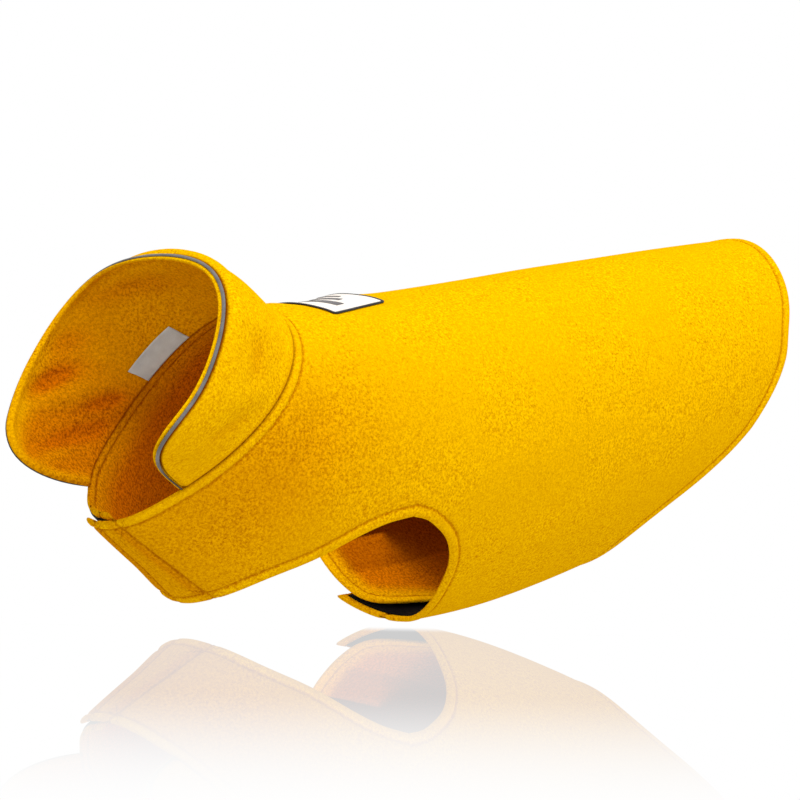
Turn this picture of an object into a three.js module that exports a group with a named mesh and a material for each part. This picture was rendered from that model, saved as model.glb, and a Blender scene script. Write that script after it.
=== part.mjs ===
// Dog winter coat of fleece, filled out as when worn, with nobody in it.
// Millimetres. +X runs to the tail, -Y is the dog's left, +Z is up.
// The origin lies on the inner face of the back, over the withers, where the wearer carries the coat.
import * as THREE from 'three';

// Driving sizes
const FLEECE = 3;
const COLLAR_LAYER = 2.2;
const COLLAR_HEIGHT = 88;
const COLLAR_PROUD = 0.5;
const SEAM_GAP = 0.3;
const TAPE = 1.6;
const TAPE_CLEARANCE = 1;
const PIPING_RADIUS = 1.15;
const PIPING_SIDES = 8;
const PIPING_PROUD = 0.4;
const LABEL_THICKNESS = 0.8;
const PATCH_THICKNESS = 1.2;

// Fineness of the nets
const BACK_ROWS = 9;
const CHEST_ROWS = 9;
const BELLY_ROWS = 12;
const FRONT_COLUMNS = 10;
const REAR_COLUMNS = 24;
const COLLAR_ROWS = 32;
const COLLAR_COLUMNS = 6;
const CORNER_ROWS = 8;

// Slanted rings of the trunk, from the neck to past the tail hem. The zero of x and z is the nape.
// Each ring has its top and bottom on the centre plane, a half width, and sides set back to the tail.
const RINGS = [
  { topX: -35, topZ: 28, bottomX: -178, bottomZ: -118, half: 58, setBack: 22 },
  { topX: -6, topZ: -9, bottomX: -159, bottomZ: -144, half: 73, setBack: 18 },
  { topX: 45, topZ: -12, bottomX: -118, bottomZ: -183, half: 81, setBack: 9 },
  { topX: 100, topZ: -11, bottomX: -78, bottomZ: -218, half: 92, setBack: 2 },
  { topX: 160, topZ: -10, bottomX: -10, bottomZ: -244, half: 98, setBack: 0 },
  { topX: 225, topZ: -8, bottomX: 80, bottomZ: -262, half: 100, setBack: 0 },
  { topX: 300, topZ: -5, bottomX: 185, bottomZ: -268, half: 100, setBack: 0 },
  { topX: 380, topZ: -3, bottomX: 290, bottomZ: -260, half: 99, setBack: 0 },
  { topX: 460, topZ: -1, bottomX: 390, bottomZ: -244, half: 97, setBack: 0 },
  { topX: 540, topZ: 0, bottomX: 490, bottomZ: -226, half: 94, setBack: 0 },
  { topX: 620, topZ: 0, bottomX: 590, bottomZ: -206, half: 91, setBack: 0 },
  { topX: 700, topZ: 0, bottomX: 690, bottomZ: -190, half: 88, setBack: 0 },
];
const SHOULDER_FULLNESS = 0.06;
const HOLD_RING = 4;

// A place on the trunk is a ring number and an angle: 0 on the spine, 90 on the left side, -90 on the
// right, 180 under the chest. Borders are short lists of such places.
const NECK_RING = 1;
const ARM_TOP = { ring: 4.17, angle: 107 };
const NECK_END = 187;
const HEM = [
  [9.41, 0], [9.35, 15], [9.24, 36], [9.15, 53], [9.04, 68], [8.99, 80], [8.87, 92], [8.66, 107],
];
const ARM_FRONT = [
  [3.9, 110], [3.66, 116], [3.42, 126], [3.08, 142], [2.9, 159], [2.88, 174], [2.87, 182], [2.8, 187],
];
const ARM_REAR = [
  [4.43, 108.7], [4.79, 115.4], [5.04, 124.7], [5.21, 137],
  [5.35, 154], [5.47, 174], [5.4, 190], [5.24, 205],
];
const RIGHT_ARM_REAR = [
  [4.43, 108.7], [4.79, 115.4], [5.02, 124.7], [5.14, 137],
  [5.26, 151], [5.46, 168], [5.9, 179.5], [6.4, 200],
];
const BELLY_REAR = [
  [8.47, 115], [8.2, 124], [7.87, 134], [7.58, 146], [7.42, 160], [7.36, 176], [7.28, 192], [6.95, 209],
];

// The left flaps lap over the right ones, which leaves room for the two tapes between them. The right
// ones are tucked in by half of that, and the left ones stand out by the rest.
const LAP = FLEECE + 2 * SEAM_GAP + 2 * TAPE + TAPE_CLEARANCE;
const TUCK = { depth: LAP / 2, start: 128, end: 150 };
const STAND = { depth: LAP / 2, start: 132, end: 160 };

// How the collar leans, round the neck: how far its rim lies to the left and up of the seam, and how far
// it swells, at most, two thirds of the way up.
const COLLAR_LEAN = [
  { angle: -145, left: 16, up: 22, swell: 0 },
  { angle: -90, left: -21, up: 36, swell: 3 },
  { angle: -45, left: -35, up: 42, swell: 7 },
  { angle: 0, left: -3, up: 43, swell: 7 },
  { angle: 45, left: 10, up: 43, swell: 5 },
  { angle: 90, left: 21, up: 28, swell: 4 },
  { angle: 133, left: 35, up: 41, swell: 0 },
];
const SWELL_SHAPE = 27 / 4;
const COLLAR_BLEND = 14;

// Front corners of the collar: how far each reaches round the neck and down its end, and how softly it
// starts there.
const LEFT_CORNER = { reach: 55, tall: 82, ease: 1.6 };
const RIGHT_CORNER = { reach: 42, tall: 82, ease: 1 };
const DEGREE_AT_NECK = 1.45;

const cloth = (colour, roughness) => (
  new THREE.MeshStandardMaterial({ color: colour, roughness, metalness: 0 }));
const FLEECE_YELLOW = cloth(0xf2b705, 0.95);
const PIPING_GREY = cloth(0x7c8088, 0.4);
const TAPE_BLACK = cloth(0x151515, 0.8);
const LABEL_GREY = cloth(0xb4b6b8, 0.5);
const PATCH_WHITE = cloth(0xf2f2f0, 0.75);

const coat = new THREE.Group();

// Smooth value of one column at a place between the rows of a table, through every row.
function between(rows, column, place) {
  const row = THREE.MathUtils.clamp(Math.floor(place), 0, rows.length - 2);
  const t = place - row;
  const at = (k) => rows[THREE.MathUtils.clamp(k, 0, rows.length - 1)][column];
  const before = at(row - 1);
  const start = at(row);
  const end = at(row + 1);
  const after = at(row + 2);
  const turn = 2 * before - 5 * start + 4 * end - after;
  const twist = 3 * start - before - 3 * end + after;
  return start + 0.5 * t * (end - before + t * (turn + t * twist));
}

// Place of an angle between the rows of a table that lists angles.
function placeOf(rows, angle) {
  let row = 0;
  while (row < rows.length - 2 && angle > rows[row + 1].angle) row += 1;
  return row + (angle - rows[row].angle) / (rows[row + 1].angle - rows[row].angle);
}

function trunkPoint(ring, angle) {
  const [topX, topZ, bottomX, bottomZ, half, setBack] =
    ['topX', 'topZ', 'bottomX', 'bottomZ', 'half', 'setBack'].map((column) => between(RINGS, column, ring));
  const turn = THREE.MathUtils.degToRad(angle);
  const over = (1 + Math.cos(turn)) / 2;
  const side = Math.sin(turn);
  const hold = RINGS[HOLD_RING];
  return new THREE.Vector3(
    bottomX + (topX - bottomX) * over + setBack * side * side - hold.topX,
    -half * side * (1 + SHOULDER_FULLNESS * Math.cos(turn)),
    bottomZ + (topZ - bottomZ) * over - hold.topZ + FLEECE,
  );
}

const SMALL_RING = 0.02;
const SMALL_ANGLE = 0.5;
function trunkFrame(ring, angle) {
  const back = trunkPoint(ring + SMALL_RING, angle).sub(trunkPoint(ring - SMALL_RING, angle)).normalize();
  const round = trunkPoint(ring, angle + SMALL_ANGLE).sub(trunkPoint(ring, angle - SMALL_ANGLE)).normalize();
  return { back, round, out: round.clone().cross(back).normalize() };
}

// A point of the body cloth, lifted off its outer face.
function clothPoint([ring, angle], lift) {
  const tuck = THREE.MathUtils.smoothstep(-angle, TUCK.start, TUCK.end) * TUCK.depth;
  const stand = THREE.MathUtils.smoothstep(angle, STAND.start, STAND.end) * STAND.depth;
  return trunkPoint(ring, angle).addScaledVector(trunkFrame(ring, angle).out, lift - tuck + stand);
}

// A point of the collar: how far up from the seam it lies, and how far off the outer face.
function collarPoint([angle, rise], lift) {
  const lean = placeOf(COLLAR_LEAN, angle);
  const left = between(COLLAR_LEAN, 'left', lean);
  const up = between(COLLAR_LEAN, 'up', lean);
  const forward = Math.sqrt(COLLAR_HEIGHT ** 2 - left ** 2 - up ** 2);
  const slope = new THREE.Vector3(-forward, -left, up).divideScalar(COLLAR_HEIGHT);
  const { back, round, out } = trunkFrame(NECK_RING, angle);
  const side = slope.clone().cross(round).normalize();
  const t = rise / COLLAR_HEIGHT;
  const swell = between(COLLAR_LEAN, 'swell', lean) * SWELL_SHAPE * t ** 2 * (1 - t);
  const facing = out.lerp(side, THREE.MathUtils.smoothstep(rise, 0, COLLAR_BLEND)).normalize();
  return clothPoint([NECK_RING, angle], 0)
    .addScaledVector(back, -SEAM_GAP)
    .addScaledVector(slope, rise)
    .addScaledVector(side, swell)
    .addScaledVector(facing, lift + COLLAR_PROUD);
}

const mix = (a, b, t) => a.map((value, k) => value + (b[k] - value) * t);
const steps = (count) => Array.from({ length: count + 1 }, (_, k) => k / count);

// Evenly spaced places along a smooth border through the given ones.
const RING_LENGTH = 65;
const DEGREE_LENGTH = 1.7;
function spaced(places, count) {
  const curve = new THREE.SplineCurve(places.map(([ring, angle]) => (
    new THREE.Vector2(ring * RING_LENGTH, angle * DEGREE_LENGTH))));
  return curve.getSpacedPoints(count).map((p) => [p.x / RING_LENGTH, p.y / DEGREE_LENGTH]);
}

// Rows of places ruled from each place of one border to its partner on the other.
const ruled = (from, to, columns) => (
  from.map((place, row) => steps(columns).map((t) => mix(place, to[row], t))));
const mirrored = (net, hand) => net.map((row) => row.map(([ring, angle]) => [ring, hand * angle]));

const hem = spaced(HEM, BACK_ROWS);
const backAngles = steps(BACK_ROWS).map((t) => t * ARM_TOP.angle);
const neckLine = backAngles.map((angle) => [NECK_RING, angle]);
const armLine = backAngles.map((angle) => [ARM_TOP.ring, angle]);
const frontHalf = ruled(neckLine, armLine, FRONT_COLUMNS);
const rearHalf = ruled(armLine, hem, REAR_COLUMNS);
const halfBack = frontHalf.map((row, k) => row.concat(rearHalf[k].slice(1)));

const armTop = [ARM_TOP.ring, ARM_TOP.angle];
const neckEdge = steps(CHEST_ROWS).map((t) => [NECK_RING, ARM_TOP.angle + t * (NECK_END - ARM_TOP.angle)]);
const leftChestNet = ruled(neckEdge, spaced([armTop, ...ARM_FRONT], CHEST_ROWS), FRONT_COLUMNS);
const rearEdge = spaced([HEM[HEM.length - 1], ...BELLY_REAR], BELLY_ROWS);
const leftBellyNet = ruled(spaced([armTop, ...ARM_REAR], BELLY_ROWS), rearEdge, REAR_COLUMNS);
const rightArmEdge = spaced([armTop, ...RIGHT_ARM_REAR], BELLY_ROWS);
const rightBellyNet = mirrored(ruled(rightArmEdge, rearEdge, REAR_COLUMNS), -1);
const rightChestNet = mirrored(leftChestNet, -1);
const backNet = mirrored(halfBack, -1).slice(1).reverse().concat(halfBack);

// One closed wall over nets of places that share their borders: an outer face, an inner face and the rim.
function wall(nets, point, outer, inner) {
  const numbers = new Map();
  const places = [];
  const numberOf = (place) => {
    const key = place.map((value) => value.toFixed(5)).join();
    if (!numbers.has(key)) numbers.set(key, places.push(place) - 1);
    return numbers.get(key);
  };
  const triangles = [];
  for (const { net, hand } of nets) {
    for (let row = 0; row + 1 < net.length; row += 1) {
      for (let column = 0; column + 1 < net[row].length; column += 1) {
        const a = numberOf(net[row][column]);
        const b = numberOf(net[row][column + 1]);
        const c = numberOf(net[row + 1][column + 1]);
        const d = numberOf(net[row + 1][column]);
        triangles.push(...(hand > 0 ? [[a, c, b], [a, d, c]] : [[a, b, c], [a, c, d]]));
      }
    }
  }
  const faces = triangles.filter(([a, b, c]) => a !== b && b !== c && c !== a);
  return closedShell(places.map((p) => point(p, outer)), places.map((p) => point(p, inner)), faces);
}

function closedShell(outerPoints, innerPoints, faces) {
  const edges = new Map();
  for (const [a, b, c] of faces) {
    for (const [from, to] of [[a, b], [b, c], [c, a]]) edges.set(`${from},${to}`, [from, to]);
  }
  const count = outerPoints.length;
  const index = [];
  for (const [a, b, c] of faces) index.push(a, b, c, count + a, count + c, count + b);
  for (const [from, to] of edges.values()) {
    if (edges.has(`${to},${from}`)) continue;
    index.push(to, from, count + from, to, count + from, count + to);
  }
  const geometry = new THREE.BufferGeometry().setFromPoints(outerPoints.concat(innerPoints));
  geometry.setIndex(index);
  return geometry;
}

// A closed bar through rings of points, with flat ends.
function bar(rings) {
  const sides = rings[0].length;
  const index = [];
  for (let ring = 0; ring + 1 < rings.length; ring += 1) {
    for (let side = 0; side < sides; side += 1) {
      const a = ring * sides + side;
      const b = ring * sides + (side + 1) % sides;
      index.push(a, a + sides, b, b, a + sides, b + sides);
    }
  }
  const last = (rings.length - 1) * sides;
  for (let side = 1; side + 1 < sides; side += 1) {
    index.push(0, side, side + 1, last, last + side + 1, last + side);
  }
  const geometry = new THREE.BufferGeometry().setFromPoints(rings.flat());
  geometry.setIndex(index);
  return geometry;
}

function addPiece(name, geometry, material) {
  const mesh = new THREE.Mesh(geometry, material);
  mesh.name = name;
  coat.add(mesh);
}

// Body panel: back, sides, chest flaps and belly flaps in one piece of fleece.
const bodyNets = [
  { net: backNet, hand: 1 },
  { net: leftChestNet, hand: 1 },
  { net: leftBellyNet, hand: 1 },
  { net: rightChestNet, hand: -1 },
  { net: rightBellyNet, hand: -1 },
];
addPiece('body_panel', wall(bodyNets, clothPoint, 0, -FLEECE), FLEECE_YELLOW);

// Rim of the collar as places of angle and rise: up the right front end, round its corner, along the
// top, round the left corner. The bottom of the first and last row are the front ends at the seam.
function collarRim(inset) {
  const height = COLLAR_HEIGHT - inset;
  const first = COLLAR_LEAN[0].angle + inset / DEGREE_AT_NECK;
  const last = COLLAR_LEAN[COLLAR_LEAN.length - 1].angle - inset / DEGREE_AT_NECK;
  const corner = (end, { reach, tall, ease }, hand) => steps(CORNER_ROWS).map((t) => {
    const turn = t * Math.PI / 2;
    const across = (reach - inset) * (1 - Math.cos(turn)) ** ease / DEGREE_AT_NECK;
    return [end + hand * across, height - (tall - inset) * (1 - Math.sin(turn))];
  });
  const right = corner(first, RIGHT_CORNER, 1);
  const left = corner(last, LEFT_CORNER, -1).reverse();
  const middle = steps(COLLAR_ROWS - 2 * CORNER_ROWS).map((t) => mix(right[CORNER_ROWS], left[0], t));
  return right.concat(middle.slice(1, -1), left);
}

const RIM_INSET = 2 * PIPING_RADIUS + 2 * SEAM_GAP;
const rim = collarRim(0);
const insetRim = collarRim(RIM_INSET);
const rimLength = rim.length - 1;
const seamPlaces = (ends) => (
  steps(rimLength).map((t) => [ends[0][0] + t * (ends[rimLength][0] - ends[0][0]), 0]));
const outerNet = ruled(seamPlaces(insetRim), insetRim, COLLAR_COLUMNS);
const frontEnd = (row) => [...outerNet[row].map(([, rise]) => [rim[row][0], rise]), rim[row]];
const innerNet = [frontEnd(0), ...outerNet.map((row, k) => row.concat([rim[k]])), frontEnd(rimLength)];

const INNER_LAYER = -COLLAR_LAYER - SEAM_GAP;
addPiece('collar_outer', wall([{ net: outerNet, hand: -1 }], collarPoint, 0, -COLLAR_LAYER), FLEECE_YELLOW);
const innerFace = INNER_LAYER - COLLAR_LAYER;
const innerWall = wall([{ net: innerNet, hand: -1 }], collarPoint, INNER_LAYER, innerFace);
addPiece('collar_inner', innerWall, FLEECE_YELLOW);

// Piping: a cord along the rim, outside the inner layer, where the outer layer stops short.
const PIPING_INSET = PIPING_RADIUS + SEAM_GAP;
const PIPING_LIFT = -PIPING_RADIUS + PIPING_PROUD;
const rimWalk = (net, edge) => [
  ...net[0].slice(0, -1).map(([, rise]) => [edge[0][0], rise]),
  ...edge,
  ...net[rimLength].slice(0, -1).reverse().map(([, rise]) => [edge[rimLength][0], rise]),
];
const rimPath = rimWalk(outerNet, rim);
const insetPath = rimWalk(outerNet, insetRim);
const pipingRings = rimPath.map((place, k) => steps(PIPING_SIDES).slice(1).map((t) => {
  const turn = 2 * Math.PI * t;
  const inset = (PIPING_INSET + PIPING_RADIUS * Math.sin(turn)) / RIM_INSET;
  return collarPoint(mix(place, insetPath[k], inset), PIPING_LIFT + PIPING_RADIUS * Math.cos(turn));
}));
addPiece('collar_piping', bar(pipingRings), PIPING_GREY);

// What is sewn on a wall lies on its flat facets: a place there is a fractional row and column of its net.
function onFacets(net, point, face) {
  return ([row, column], lift) => {
    const r = Math.min(Math.floor(row), net.length - 2);
    const c = Math.min(Math.floor(column), net[0].length - 2);
    const near = point(net[r][c], face + lift);
    const far = point(net[r + 1][c + 1], face + lift);
    const across = column - c > row - r;
    const third = across ? point(net[r][c + 1], face + lift) : point(net[r + 1][c], face + lift);
    const [first, second] = across ? [column - c, row - r] : [row - r, column - c];
    return near.clone()
      .addScaledVector(third.clone().sub(near), first)
      .addScaledVector(far.sub(third), second);
  };
}

// A block of a net's rows and columns, with its own edges and every line of the net between them.
function block([firstRow, lastRow], [firstColumn, lastColumn]) {
  const lines = (first, last) => {
    const whole = Array.from({ length: Math.ceil(last - first) + 1 }, (_, k) => Math.floor(first) + k);
    return [first, ...whole.filter((line) => line > first && line < last), last];
  };
  return lines(firstRow, lastRow).map((row) => lines(firstColumn, lastColumn).map((column) => [row, column]));
}

// Tapes: loop on the inner face of the left flaps, hook on the outer face of the right ones.
const TAPES = [
  { name: 'chest_loop', net: leftChestNet, hand: 1, rows: [6.9, 8.7], columns: [0.15, 9.1] },
  { name: 'chest_hook', net: rightChestNet, hand: -1, rows: [5.6, 8.6], columns: [0.15, 9.1] },
  { name: 'belly_loop', net: leftBellyNet, hand: 1, rows: [6.5, 11.8], columns: [0.2, 20] },
  { name: 'belly_hook', net: rightBellyNet, hand: -1, rows: [6.2, 11.6], columns: [0.2, 20] },
];
for (const { name, net, hand, rows, columns } of TAPES) {
  const inside = hand > 0;
  const on = onFacets(net, clothPoint, inside ? -FLEECE : 0);
  const [outer, inner] = inside ? [-SEAM_GAP, -SEAM_GAP - TAPE] : [SEAM_GAP + TAPE, SEAM_GAP];
  addPiece(name, wall([{ net: block(rows, columns), hand }], on, outer, inner), TAPE_BLACK);
}

// Size label on the inner face of the collar, caught in the neck seam on the dog's right. Its corners are
// rows and columns of that layer's net.
const onCollar = onFacets(innerNet, collarPoint, innerFace);
const LABEL_STEPS = 8;
const LABEL_SEAM = [[8.34, 0.15], [11.92, 0.15]];
const LABEL_FREE = [[9.16, 1.23], [12.42, 1.23]];
const labelSeam = steps(LABEL_STEPS).map((t) => mix(LABEL_SEAM[0], LABEL_SEAM[1], t));
const labelFree = steps(LABEL_STEPS).map((t) => mix(LABEL_FREE[0], LABEL_FREE[1], t));
const labelNet = { net: ruled(labelSeam, labelFree, LABEL_STEPS / 2), hand: -1 };
addPiece('size_label', wall([labelNet], onCollar, -SEAM_GAP, -SEAM_GAP - LABEL_THICKNESS), LABEL_GREY);

// Back patch: turned a little on the back, just behind the collar. Its corners are rows and columns of
// the back net, from the front right one round by the front left one.
const onBack = onFacets(backNet, clothPoint, 0);
const PATCH_STEPS = 12;
const PATCH_FRONT = [[7.65, 2.1], [10.9, 3.1]];
const PATCH_REAR = [[6.8, 5.9], [10.2, 6.5]];
const patchFront = steps(PATCH_STEPS).map((t) => mix(PATCH_FRONT[0], PATCH_FRONT[1], t));
const patchRear = steps(PATCH_STEPS).map((t) => mix(PATCH_REAR[0], PATCH_REAR[1], t));
const patchNet = { net: ruled(patchFront, patchRear, PATCH_STEPS), hand: 1 };
addPiece('back_patch', wall([patchNet], onBack, SEAM_GAP + PATCH_THICKNESS, SEAM_GAP), PATCH_WHITE);

export default coat;
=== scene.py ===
# Dog winter coat of fleece, filled out as when worn: trunk with lapped flaps, two-layer collar with
# piping, hook and loop tapes, a satin label and a woven patch. The tables are those of the solids.
# Lengths are millimetres here until a mesh is made, which is in metres.
import math

import bpy
import numpy as np
from mathutils import Matrix, Vector
from mathutils.kdtree import KDTree


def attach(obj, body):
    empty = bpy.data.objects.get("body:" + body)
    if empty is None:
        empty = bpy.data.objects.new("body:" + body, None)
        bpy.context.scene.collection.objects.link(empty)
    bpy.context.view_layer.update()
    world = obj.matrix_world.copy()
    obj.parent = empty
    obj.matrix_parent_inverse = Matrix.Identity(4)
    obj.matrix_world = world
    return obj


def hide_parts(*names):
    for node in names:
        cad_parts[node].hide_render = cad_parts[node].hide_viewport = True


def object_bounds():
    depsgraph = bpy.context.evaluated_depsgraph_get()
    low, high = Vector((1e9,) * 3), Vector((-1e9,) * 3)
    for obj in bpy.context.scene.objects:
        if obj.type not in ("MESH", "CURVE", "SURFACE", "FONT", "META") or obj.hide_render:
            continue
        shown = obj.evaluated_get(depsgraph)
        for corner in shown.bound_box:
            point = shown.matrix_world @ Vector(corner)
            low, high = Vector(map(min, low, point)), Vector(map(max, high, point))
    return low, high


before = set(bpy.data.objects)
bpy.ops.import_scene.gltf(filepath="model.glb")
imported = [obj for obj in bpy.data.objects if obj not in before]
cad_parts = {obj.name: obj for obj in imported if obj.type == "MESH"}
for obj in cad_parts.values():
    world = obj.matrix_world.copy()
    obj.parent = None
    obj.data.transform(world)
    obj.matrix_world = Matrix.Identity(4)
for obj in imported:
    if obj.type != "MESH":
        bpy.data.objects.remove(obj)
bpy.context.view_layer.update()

MM = 0.001

# Sizes and tables of the solids
FLEECE = 3
COLLAR_LAYER = 2.2
COLLAR_HEIGHT = 88
COLLAR_PROUD = 0.5
SEAM_GAP = 0.3
TAPE = 1.6
TAPE_CLEARANCE = 1
PIPING_RADIUS = 1.15
PIPING_PROUD = 0.4
# Rings of the trunk, from the neck to past the hem: top x and z, bottom x and z, half width, set back.
RINGS = np.array([
    [-35, 28, -178, -118, 58, 22],
    [-6, -9, -159, -144, 73, 18],
    [45, -12, -118, -183, 81, 9],
    [100, -11, -78, -218, 92, 2],
    [160, -10, -10, -244, 98, 0],
    [225, -8, 80, -262, 100, 0],
    [300, -5, 185, -268, 100, 0],
    [380, -3, 290, -260, 99, 0],
    [460, -1, 390, -244, 97, 0],
    [540, 0, 490, -226, 94, 0],
    [620, 0, 590, -206, 91, 0],
    [700, 0, 690, -190, 88, 0],
], float)
SHOULDER_FULLNESS = 0.06
HOLD_RING = 4
# Cut edges of the left side, as places: a ring number and an angle, 0 on the spine and 180 under the belly.
NECK_RING = 1
ARM_TOP = [4.17, 107]
NECK_END = 187
HEM = [[9.41, 0], [9.35, 15], [9.24, 36], [9.15, 53], [9.04, 68], [8.99, 80], [8.87, 92],
       [8.66, 107]]
ARM_FRONT = [[3.9, 110], [3.66, 116], [3.42, 126], [3.08, 142], [2.9, 159], [2.88, 174], [2.87, 182],
             [2.8, 187]]
ARM_REAR = [[4.43, 108.7], [4.79, 115.4], [5.04, 124.7], [5.21, 137], [5.35, 154], [5.47, 174], [5.4, 190],
            [5.24, 205]]
RIGHT_ARM_REAR = [[4.43, 108.7], [4.79, 115.4], [5.02, 124.7], [5.14, 137], [5.26, 151], [5.46, 168],
                  [5.9, 179.5], [6.4, 200]]
BELLY_REAR = [[8.47, 115], [8.2, 124], [7.87, 134], [7.58, 146], [7.42, 160], [7.36, 176], [7.28, 192],
              [6.95, 209]]
# The right flaps tuck in and the left ones stand out: how far, and the angles at which that starts and ends.
LAP = FLEECE + 2 * SEAM_GAP + 2 * TAPE + TAPE_CLEARANCE
TUCK = (LAP / 2, 128, 150)
STAND = (LAP / 2, 132, 160)
# Lean of the collar: angle, then how far a strip of full height leans left and rises, and its swell.
COLLAR_LEAN = np.array([
    [-145, 16, 22, 0],
    [-90, -21, 36, 3],
    [-45, -35, 42, 7],
    [0, -3, 43, 7],
    [45, 10, 43, 5],
    [90, 21, 28, 4],
    [133, 35, 41, 0],
], float)
COLLAR_BLEND = 14
# Rounded front corners of the collar: reach and height in mm, and ease.
LEFT_CORNER = (55, 82, 1.6)
RIGHT_CORNER = (42, 82, 1)
# Size of a ring step and of a degree, in mm, on the trunk and at the neck
RING_STEP, DEGREE = 65, 1.7
DEGREE_AT_NECK = 1.45
# Rows and columns of the solids' nets
BACK_NET, FRONT_COLUMNS, REAR_COLUMNS = 9, 10, 24
CHEST_NET = (9, FRONT_COLUMNS)
BELLY_NET = (12, REAR_COLUMNS)
COLLAR_NET_COLUMNS = 6
RIM_INSET = 2 * PIPING_RADIUS + 2 * SEAM_GAP
INNER_LAYER = -COLLAR_LAYER - SEAM_GAP

# Fineness: cells in mm, and lines at these distances from an edge
CELL = 3.6
CHEST_CELL = 2.3
COLLAR_CELL = 2.2
PIPING_SIDES = 10
BORDER_SIDES = 10
TAPE_CELL, NET_ROW, NET_COLUMN = 3, 16, 14
EDGE_LINES = [0, 0.5, 1.2, 2.2, 4, 5.8, 7, 7.9, 8.8, 9.9, 11.6, 14]
END_LINES = [0, 0.5, 1.2, 2.4, 5, 8, 11, 14]
SEAM_LINES = [0, 0.5, 1.2, 2.4, 4]
RIM_LINES = [0, 0.4, 0.9, 1.6, 2.6, 4, 5.6, 7.4]

# Stitch lines: distances from an edge in mm. The chest flap has two across it, up to the ring CHEST_END, as
# angles: CHEST_LINE is an angle and how far it falls by each ring. CHEST_DEGREE is a degree there, in mm.
HEM_STITCH = 9
NECK_STITCH = 8
BELLY_END_STITCH = 38
CHEST_LINE = (168.8, 3.5)
CHEST_RIM_LINE = 179
CHEST_END = 3.4
CHEST_DEGREE = 1.5

# Top of the patch above the back, and thickness of the label, in mm
PATCH_TOP = 1.15
LABEL_CLOTH = 0.35


def smoothstep(value, low, high):
    t = np.clip((value - low) / (high - low), 0, 1)
    return t * t * (3 - 2 * t)


def bell(value, width):
    return np.exp(-(value / width) ** 2)


def between(rows, place):
    row = np.clip(np.floor(place).astype(int), 0, len(rows) - 2)
    t = (place - row)[..., None]
    before, start, end, after = (rows[np.clip(row + k, 0, len(rows) - 1)] for k in (-1, 0, 1, 2))
    turn = 2 * before - 5 * start + 4 * end - after
    twist = 3 * start - before - 3 * end + after
    return start + 0.5 * t * (end - before + t * (turn + t * twist))


def edge_round(distance, depth, reach):
    """How far a face drops to make a rounded edge."""
    t = np.clip(1 - distance / reach, 0, 1)
    return depth * (1 - np.sqrt(1 - t ** 2 + 1e-9))


def unit(vectors):
    return vectors / np.linalg.norm(vectors, axis=-1, keepdims=True)


def trunk(ring, angle):
    top_x, top_z, bottom_x, bottom_z, half, set_back = np.moveaxis(between(RINGS, ring), -1, 0)
    turn = np.radians(angle)
    over = (1 + np.cos(turn)) / 2
    side = np.sin(turn)
    hold_x, hold_z = RINGS[HOLD_RING][:2]
    return np.stack([
        bottom_x + (top_x - bottom_x) * over + set_back * side ** 2 - hold_x,
        -half * side * (1 + SHOULDER_FULLNESS * np.cos(turn)),
        bottom_z + (top_z - bottom_z) * over - hold_z + FLEECE,
    ], -1)


def trunk_frame(ring, angle):
    back = unit(trunk(ring + 0.02, angle) - trunk(ring - 0.02, angle))
    round_it = unit(trunk(ring, angle + 0.5) - trunk(ring, angle - 0.5))
    return back, round_it, unit(np.cross(round_it, back))


def cloth(places, lift):
    ring, angle = places[..., 0], places[..., 1]
    tuck = smoothstep(-angle, *TUCK[1:]) * TUCK[0]
    stand = smoothstep(angle, *STAND[1:]) * STAND[0]
    out = trunk_frame(ring, angle)[2]
    return trunk(ring, angle) + out * (lift - tuck + stand)[..., None]


def collar(places, lift):
    angle, rise = places[..., 0], places[..., 1]
    lean = np.interp(angle, COLLAR_LEAN[:, 0], np.arange(len(COLLAR_LEAN)))
    _, left, up, swell = np.moveaxis(between(COLLAR_LEAN, lean), -1, 0)
    forward = np.sqrt(COLLAR_HEIGHT ** 2 - left ** 2 - up ** 2)
    slope = np.stack([-forward, -left, up], -1) / COLLAR_HEIGHT
    neck = np.full_like(angle, NECK_RING)
    back, round_it, out = trunk_frame(neck, angle)
    side = unit(np.cross(slope, round_it))
    t = rise / COLLAR_HEIGHT
    swell = swell * 27 / 4 * t ** 2 * (1 - t)
    turned = smoothstep(rise, 0, COLLAR_BLEND)[..., None]
    facing = unit(out * (1 - turned) + side * turned)
    seam = cloth(np.stack([neck, angle], -1), np.zeros_like(angle)) - back * SEAM_GAP
    return seam + slope * rise[..., None] + side * swell[..., None] + facing * (lift + COLLAR_PROUD)[..., None]


def border(places, shares):
    """Places at these shares of the length of a smooth border."""
    rows = np.array(places, float)
    fine = between(rows, np.linspace(0, len(rows) - 1, 60 * len(rows)))
    steps = np.diff(fine, axis=0) * [RING_STEP, DEGREE]
    run = np.concatenate([[0], np.cumsum(np.hypot(*steps.T))])
    at = np.asarray(shares) * run[-1]
    return np.stack([np.interp(at, run, fine[:, k]) for k in (0, 1)], -1)


def chest_neck(shares):
    return np.stack([np.full_like(shares, NECK_RING), ARM_TOP[1] + shares * (NECK_END - ARM_TOP[1])], -1)


def chest_arm(shares):
    return border([ARM_TOP, *ARM_FRONT], shares)


def left_belly_arm(shares):
    return border([ARM_TOP, *ARM_REAR], shares)


def right_belly_arm(shares):
    return border([ARM_TOP, *RIGHT_ARM_REAR], shares)


def belly_hem(shares):
    return border([HEM[-1], *BELLY_REAR], shares)


def lines(length, cell, start, end):
    """Shares of a length with close lines from its start and its end, and even ones between."""
    start, end = np.array(start, float), np.array(end, float)
    squeeze = min(1, 0.42 * length / max(start[-1], 1e-6), 0.42 * length / max(end[-1], 1e-6))
    start, end = start * squeeze, end * squeeze
    room = length - start[-1] - end[-1]
    middle = np.linspace(0, 1, max(2, round(room / cell)) + 1)[1:-1] * room + start[-1]
    return np.concatenate([start, middle, length - end[::-1]]) / length


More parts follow.
